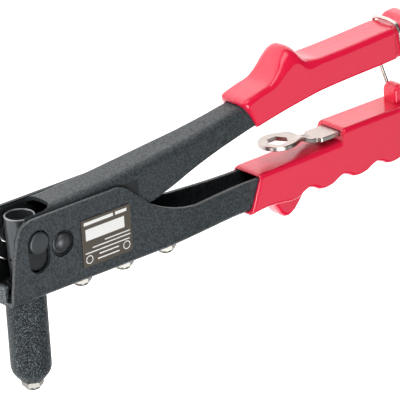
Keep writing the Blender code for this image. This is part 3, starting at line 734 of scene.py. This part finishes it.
def upper_grip(finish):
    """The lever's grip, with its thumb stop, and its end ridge behind the bail's groove."""
    over = smooth_curve([(138.2, 113.2), (148.0, 115.7), (155.0, 117.4), (158.6, 119.6), (162.2, 123.9),
                         (165.4, 128.8), (168.2, 131.9), (171.0, 132.7), (173.8, 131.8), (177.8, 127.9),
                         (181.8, 124.0), (186.0, 122.4), (190.0, 122.0), (241.0, 123.9), (247.6, 124.2),
                         (252.0, 126.2), (256.2, 126.5), (259.4, 125.6), (262.0, 122.0)])
    under = smooth_curve([(GAP_FRONT, 97.0), (158.0, 99.4), (170.0, 101.4), (193.0, 104.3), (243.0, 106.3),
                          (257.0, 107.2), (262.0, 110.0)])
    soft = smooth_curve([(138.0, 3.0), (150.0, 2.6), (158.0, 3.2), (163.0, 5.5), (168.0, 8.6), (176.0, 8.6),
                         (184.0, 4.6), (190.0, 2.8), (239.5, 2.8), (243.0, 4.2), (246.0, 4.2), (250.0, 3.2)])
    half = smooth_curve([(240.0, GRIP_HALF), (242.4, 9.7), (245.6, 9.7), (248.0, GRIP_HALF),
                         (262.0, GRIP_HALF)])
    bm = grip_skin((GAP_FRONT, 138.2), (GRIP_END, GRIP_END), under, over, half, (even(2.2), soft),
                   (8.75, 98.1, 110.2, 3.6, 0.6, 5.0), steps(0.02, 0.985, 150))
    grip = piece(bm, "upper_grip_moulded", finish["vinyl"], "lever", "upper_grip", slot="red_vinyl",
                 smooth=50)
    weigh_normals(grip)


def finger_hollows():
    """The lower grip's underside: hollows for the fingers, a pitch apart, the last one shallower."""
    points = [(138.0, 50.8), (150.0, 51.9), (161.0, 50.9)]
    x = 165.6
    pitch = 23.6
    while x < 247:
        last = x > 225
        points += [(x, 50.2), (x + 4.5, 50.7), (x + 9.5, 52.9 - 0.9 * last), (x + 12.6, 53.8 - 1.7 * last),
                   (x + 16.5, 52.6 - 0.7 * last), (x + 20.0, 50.7)]
        x += pitch
    return smooth_curve(points[:-2] + [(258.0, 52.8), (260.0, 54.0), (262.0, 57.0)])


def finger_guard():
    """The lobe that hangs below the lower grip, between the first two fingers."""
    rings = []
    for x, z, half in ((153.0, 55.0, 3.0), (155.6, 52.6, 4.6), (158.2, 49.2, 5.4), (160.4, 45.6, 5.9),
                       (162.6, 42.4, 6.0), (164.8, 40.5, 5.8), (167.0, 39.9, 5.6), (169.2, 40.5, 5.7),
                       (171.4, 42.2, 5.9), (174.0, 45.0, 6.0), (177.0, 48.3, 5.7), (181.0, 52.0, 4.8),
                       (185.0, 55.0, 3.0)):
        rings.append(grip_ring((x, z), (x, 60.0), half, 3.2, 1.0))
    return skin([[centre_of(rings[0])] * len(rings[0]), *rings, [centre_of(rings[-1])] * len(rings[-1])])


def bail_boss():
    """The rounded knob that the bail's ends run into."""
    rings = []
    for y, scale in ((-5.0, 0.0), (-5.0, 0.7), (-4.8, 0.84), (-4.3, 0.93), (-3.4, 1.0),
                     (3.4, 1.0), (4.3, 0.93), (4.8, 0.84), (5.0, 0.7), (5.0, 0.0)):
        radius = BOSS_RADIUS * scale
        ring = [(BAIL_X + radius * math.cos(a), BOSS_Z + radius * math.sin(a)) for a in steps(0, math.pi, 18)]
        ring += [(BAIL_X - radius, BOSS_FOOT), (BAIL_X + radius, BOSS_FOOT)]
        rings.append([Vector((x, y, z)) for x, z in ring])
    return skin(rings)


def lower_grip(finish):
    """The frame's grip, with its step and wrench slot, its finger guard and the bail's boss."""
    over = smooth_curve([(GAP_FRONT, 71.6), (201.0, 72.4), (201.8, 72.6), (203.4, 78.6), (204.6, 79.2),
                         (256.5, 79.2), (260.0, 77.8), (262.0, 75.0)])
    stations = steps(0.02, 0.48, 70) + steps(0.4825, 0.56, 40) + steps(0.5625, 0.985, 70)
    bm = grip_skin((138.0, GAP_FRONT), (GRIP_END, GRIP_END), finger_hollows(), over, even(GRIP_HALF),
                   (even(2.4), even(2.2)), (9.2, 52.15, 69.95, 30.0, 4.0, 0.5), stations)
    wrench_slot = block((190, -7.4, 74.4), (214, 7.4, 77.4))
    bm = merged(baked(bm, wrench_slot), finger_guard(), bail_boss())
    grip = piece(bm, "lower_grip_moulded", finish["vinyl"], "frame", "lower_grip", slot="red_vinyl",
                 smooth=50)
    weigh_normals(grip)


# ---------------------------------------------------------------- bail and wrench

def latch_bail(finish):
    """The wire loop from the boss, up both sides of the upper grip and over it."""
    near = [(BAIL_X, -1.6, BAIL_Z), (BAIL_X, -6.6, BAIL_Z), (246.4, -12.2, 102.8), (243.8, -12.2, 121.0),
            (243.2, -9.4, 126.6), (243.2, -3.0, 127.8)]
    corners = near + [(x, -y, z) for x, y, z in reversed(near)]
    bm = tube(rounded_corners(corners, 2.6), 1.0)
    piece(bm, "latch_bail_wire", finish["bright_wire"], "bail", "latch_bail", slot="nickel", smooth=50)


def wrench(finish):
    """The flat wrench: a ring with a hexagon hole, a joggle down to the slot, and its blade."""
    ring_x, ring_z, thick, radius, chamfer, hex_wide = 166.0, 80.4, 2.4, 10.0, 0.4, 10.2
    under, over = ring_z - thick / 2, ring_z + thick / 2
    ring = spun([(0, under), (radius - chamfer, under), (radius, under + chamfer), (radius, over - chamfer),
                 (radius - chamfer, over), (0, over)])
    bmesh.ops.translate(ring, verts=ring.verts, vec=(ring_x, 0, 0))
    centre = smooth_curve([(172.0, ring_z), (177.0, ring_z - 0.2), (186.5, 76.1), (190.0, 75.9),
                           (236.0, 75.9)])
    half = smooth_curve([(168.0, 9.8), (170.5, 9.2), (175.0, 7.2), (179.0, 5.5), (182.0, 4.7), (186.5, 4.6),
                         (189.0, 4.9), (189.8, 6.1), (191.0, 7.0), (234.0, 7.0), (236.0, 5.0)])
    rings = []
    for x in steps(168.5, 194.0, 60) + [205.0, 220.0, 234.0, 236.0]:
        z = centre(x)
        rings.append(grip_ring((x, z - thick / 2), (x, z + thick / 2), half(x), 0.35, 0.35, count=3))
    ends = [[centre_of(end)] * len(end) for end in (rings[0], rings[-1])]
    blade = skin([ends[0], *rings, ends[1]])
    hexagon = bmesh.new()
    corner = hex_wide / math.sqrt(3)
    bmesh.ops.create_cone(hexagon, cap_ends=True, segments=6, radius1=corner, radius2=corner, depth=8)
    turn = Matrix.Translation((ring_x, HEXAGON_ASIDE, ring_z)) @ Matrix.Rotation(HEXAGON_TURN, 4, "Z")
    bmesh.ops.transform(hexagon, matrix=turn, verts=hexagon.verts)
    bm = baked(baked(ring, blade, operation="UNION"), hexagon)
    made = piece(bm, "wrench_plated", finish["wrench_nickel"], "wrench", "nosepiece_wrench", slot="nickel",
                 smooth=32)
    weigh_normals(made)


# ---------------------------------------------------------------- settings

class RiveterLook(bpy.types.PropertyGroup):
    """Colours and textures a user would change."""

    vinyl: bpy.props.FloatVectorProperty(
        name="Grip vinyl", description="Colour of both grips", subtype="COLOR", size=3, min=0, max=1,
        default=(0.75, 0.0095, 0.053))
    coat: bpy.props.FloatVectorProperty(
        name="Powder coat", description="Colour of the frame and the lever", subtype="COLOR", size=3, min=0,
        max=1, default=(0.0225, 0.0285, 0.0320))
    nickel: bpy.props.FloatVectorProperty(
        name="Nickel", description="Colour of the nosepieces and the wrench", subtype="COLOR", size=3, min=0,
        max=1, default=(0.44, 0.425, 0.39))
    film: bpy.props.FloatVectorProperty(
        name="Label film", description="Ground colour of the label", subtype="COLOR", size=3, min=0, max=1,
        default=(0.062, 0.052, 0.040))
    ink: bpy.props.FloatVectorProperty(
        name="Label ink", description="Colour of the label's bars", subtype="COLOR", size=3, min=0, max=1,
        default=(0.80, 0.80, 0.78))
    grain: bpy.props.FloatProperty(
        name="Coat grain", description="Width of the powder coat's pebbles", default=0.0012, min=0.0002,
        max=0.01, unit="LENGTH")


class RiveterStage(bpy.types.PropertyGroup):
    """Where the camera stands, in the tool's own axes, and how bright the lamps are."""

    azimuth: bpy.props.FloatProperty(
        name="Azimuth", description="Turn of the view round the rivet axis", default=math.radians(-38.87),
        unit="ROTATION")
    elevation: bpy.props.FloatProperty(
        name="Elevation", description="Height of the view above the nose", default=math.radians(22.85),
        unit="ROTATION")
    roll: bpy.props.FloatProperty(
        name="Roll", description="Turn of the picture", default=math.radians(3.55), unit="ROTATION")
    distance: bpy.props.FloatProperty(
        name="Distance", description="From the camera to the nose, along the view", default=1.9802, min=0.1,
        unit="LENGTH")
    aim_right: bpy.props.FloatProperty(
        name="Aim right", description="Middle of the view, right of the nose tip", default=0.08257,
        unit="LENGTH")
    aim_up: bpy.props.FloatProperty(
        name="Aim up", description="Middle of the view, above the nose tip", default=0.09287, unit="LENGTH")
    key: bpy.props.FloatProperty(
        name="Key", description="Power of the large lamp over the tool's top", default=5.2, min=0.0,
        unit="POWER")
    fill: bpy.props.FloatProperty(
        name="Fill", description="Power of the lamp over the label side", default=14.5, min=0.0, unit="POWER")
    veil: bpy.props.FloatProperty(
        name="Veil", description="Power of the lamp mirrored in the grips", default=0.9, min=0.0,
        unit="POWER")
    rake: bpy.props.FloatProperty(
        name="Rake", description="Power of the low lamp at the nose end", default=2.0, min=0.0, unit="POWER")


def finishes():
    """Every material by name, made once from the scene's settings."""
    look = bpy.context.scene.riveter_look
    coat, nickel, grain = tuple(look.coat), tuple(look.nickel), look.grain / MM
    dull_nickel = tuple(c * 0.5 for c in nickel)
    bright_nickel = tuple(c * 1.35 for c in nickel)
    rim = tool_box("exit_tube")[1].z
    recipes = {
        "powder_coat": lambda name: powder_coat(name, coat, grain, 0.0, inside=(12.2, 53.9, 99.0)),
        "lever_coat": lambda name: powder_coat(name, coat, grain, 0.0, inside=(11.1, 50.0, 94.6)),
        "cast_coat": lambda name: powder_coat(name, tuple(c * 0.62 for c in coat), grain * 0.72, 1.0),
        "vinyl": lambda name: moulded_vinyl(name, tuple(look.vinyl)),
        "wrench_nickel": lambda name: plated(name, nickel, 0.26, joggle=(175.0, 190.0)),
        "dull_nickel": lambda name: plated(name, dull_nickel, 0.3),
        "bright_wire": lambda name: plated(name, bright_nickel, 0.24, scratched=0.01),
        "dark_steel": lambda name: dark_steel(name, (0.035, 0.038, 0.042), 0.42),
        "pin_steel": lambda name: dark_steel(name, (0.052, 0.056, 0.061), 0.36, 0.35),
        "tube_steel": lambda name: dark_steel(name, (0.062, 0.069, 0.074), 0.34, 0.5, rim=rim),
        "bright_steel": lambda name: dark_steel(name, (0.35, 0.35, 0.36), 0.3, 1.0),
        "label": lambda name: printed_label(name, tuple(look.film), tuple(look.ink)),
    }
    made = {}
    for key, recipe in recipes.items():
        name = f"riveter_{key}"
        made[key] = bpy.data.materials.get(name) or recipe(name)
    return made


# ---------------------------------------------------------------- stage

def lamp(name, place, target, size, power):
    """A rectangular lamp at a place in the row's frame, turned to its target."""
    data = bpy.data.lights.new(name, "AREA")
    data.shape = "RECTANGLE"
    data.size, data.size_y = size
    data.energy = power
    obj = bpy.data.objects.new(name, data)
    obj.location = place
    obj.rotation_euler = (Vector(target) - Vector(place)).to_track_quat("-Z", "Y").to_euler()
    bpy.context.scene.collection.objects.link(obj)


def camera(stage):
    """The long lens at the place the settings give in tool axes."""
    a, e, r = stage.azimuth, stage.elevation, stage.roll
    back = Vector((math.sin(a) * math.cos(e), -math.cos(a) * math.cos(e), math.sin(e)))
    right = (-back).cross(Vector((0, 0, 1))).normalized()
    up = right.cross(-back)
    turned_right = right * math.cos(r) - up * math.sin(r)
    turned_up = right * math.sin(r) + up * math.cos(r)
    place = back * stage.distance + turned_right * stage.aim_right + turned_up * stage.aim_up
    to_row = Matrix.Rotation(-math.pi / 2, 3, "X")
    data = bpy.data.cameras.new("camera")
    data.sensor_width = 36.0
    data.lens = 360.0
    data.clip_start, data.clip_end = 0.05, 20.0
    obj = bpy.data.objects.new("camera", data)
    axes = Matrix((to_row @ turned_right, to_row @ turned_up, to_row @ back)).transposed()
    obj.matrix_world = Matrix.Translation(NOSE + to_row @ place) @ axes.to_4x4()
    bpy.context.scene.collection.objects.link(obj)
    bpy.context.scene.camera = obj


def floor_sheet():
    """A wide white floor that shines evenly."""
    bm = bmesh.new()
    bmesh.ops.create_grid(bm, x_segments=1, y_segments=1, size=4.0)
    mesh = bpy.data.meshes.new("floor_sheet")
    bm.to_mesh(mesh)
    bm.free()
    shade = Shade("floor_white")
    shade.principled(Base_Color=(0.5, 0.5, 0.5), Roughness=0.9, Specular_IOR_Level=0.0,
                     Emission_Color=(1.0, 1.0, 1.0), Emission_Strength=1.32)
    mesh.materials.append(shade.material)
    obj = bpy.data.objects.new("floor_sheet", mesh)
    bpy.context.scene.collection.objects.link(obj)


def studio():
    """Floor, lamps, a world that is brighter towards tool up, and the camera."""
    stage = bpy.context.scene.riveter_stage
    floor_sheet()
    lamp("key_lamp", (-0.25, 0.95, 0.55), (0.0, 0.0, 0.0), (0.9, 0.6), stage.key)
    lamp("fill_lamp", (-0.35, -0.25, 1.1), (0.0, 0.0, 0.0), (0.8, 0.8), stage.fill)
    lamp("veil_lamp", (0.80, -0.47, 0.86), (0.1, 0.0, 0.0), (0.6, 0.6), stage.veil)
    lamp("rake_lamp", (-0.95, -0.45, 0.22), (-0.1, 0.0, 0.02), (0.4, 0.4), stage.rake)
    world = bpy.data.worlds.new("studio_world")
    world.use_nodes = True
    tree = world.node_tree
    direction = tree.nodes.new("ShaderNodeTexCoord")
    parts = tree.nodes.new("ShaderNodeSeparateXYZ")
    tree.links.new(direction.outputs["Generated"], parts.inputs[0])
    rise = tree.nodes.new("ShaderNodeMapRange")
    rise.interpolation_type = "SMOOTHSTEP"
    tree.links.new(parts.outputs["Y"], rise.inputs["Value"])
    for name, value in (("From Min", -0.6), ("From Max", 0.9), ("To Min", 0.03), ("To Max", 0.75)):
        rise.inputs[name].default_value = value
    tree.links.new(rise.outputs["Result"], tree.nodes["Background"].inputs["Strength"])
    bpy.context.scene.world = world
    bpy.context.scene.view_settings.view_transform = "Standard"
    camera(stage)


# ---------------------------------------------------------------- operators

def operator(name, label_text, doc, build):
    """An operator class that runs one builder."""
    def execute(self, context):
        build(finishes())
        return {"FINISHED"}
    return type(f"RIVETER_OT_{name}", (bpy.types.Operator,), {
        "bl_idname": f"riveter.{name}", "bl_label": label_text, "__doc__": doc,
        "bl_options": {"REGISTER", "UNDO"}, "execute": execute})


BUILDERS = (
    operator("frame_plates", "Frame plates", "Build the coated frame channel", frame_plates),
    operator("barrel", "Barrel", "Build the coated nose barrel", barrel),
    operator("nosepieces", "Nosepieces", "Build the fitted and the three spare nosepieces", nosepieces),
    operator("pivot_pin", "Pivot pin", "Build the domed pivot pin and finish its bushes", pivot_pin),
    operator("label", "Label", "Build the label with its plain bars", label),
    operator("jaw_train", "Jaw train", "Build the exit tube, and finish the jaws", jaw_train),
    operator("lever_arm", "Lever", "Build the coated lever", lever_arm),
    operator("upper_grip", "Upper grip", "Build the grip on the lever", upper_grip),
    operator("lower_grip", "Lower grip", "Build the grip on the frame", lower_grip),
    operator("latch_bail", "Latch bail", "Build the wire bail that holds the handles shut", latch_bail),
    operator("wrench", "Wrench", "Build the nosepiece wrench", wrench),
)


class RIVETER_OT_studio(bpy.types.Operator):
    """Set up the floor, the lamps and the camera"""

    bl_idname = "riveter.studio"
    bl_label = "Studio"
    bl_options = {"REGISTER", "UNDO"}

    def execute(self, context):
        studio()
        return {"FINISHED"}


class RIVETER_PT_panel(bpy.types.Panel):
    """Every builder of the hand riveter, with its settings"""

    bl_idname = "RIVETER_PT_panel"
    bl_label = "Hand riveter"
    bl_space_type = "VIEW_3D"
    bl_region_type = "UI"
    bl_category = "Riveter"

    def draw(self, context):
        layout = self.layout
        for settings in (context.scene.riveter_look, context.scene.riveter_stage):
            box = layout.box()
            for name in settings.bl_rna.properties.keys():
                if name not in ("rna_type", "name"):
                    box.prop(settings, name)
        for cls in (*BUILDERS, RIVETER_OT_studio):
            layout.operator(cls.bl_idname)


CLASSES = (RiveterLook, RiveterStage, *BUILDERS, RIVETER_OT_studio, RIVETER_PT_panel)


def register():
    for cls in CLASSES:
        bpy.utils.register_class(cls)
    bpy.types.Scene.riveter_look = bpy.props.PointerProperty(type=RiveterLook)
    bpy.types.Scene.riveter_stage = bpy.props.PointerProperty(type=RiveterStage)


def unregister():
    del bpy.types.Scene.riveter_look
    del bpy.types.Scene.riveter_stage
    for cls in reversed(CLASSES):
        bpy.utils.unregister_class(cls)


def main():
    register()
    for cls in (*BUILDERS, RIVETER_OT_studio):
        group, name = cls.bl_idname.split(".")
        getattr(getattr(bpy.ops, group), name)()


if __name__ == "__main__":
    main()
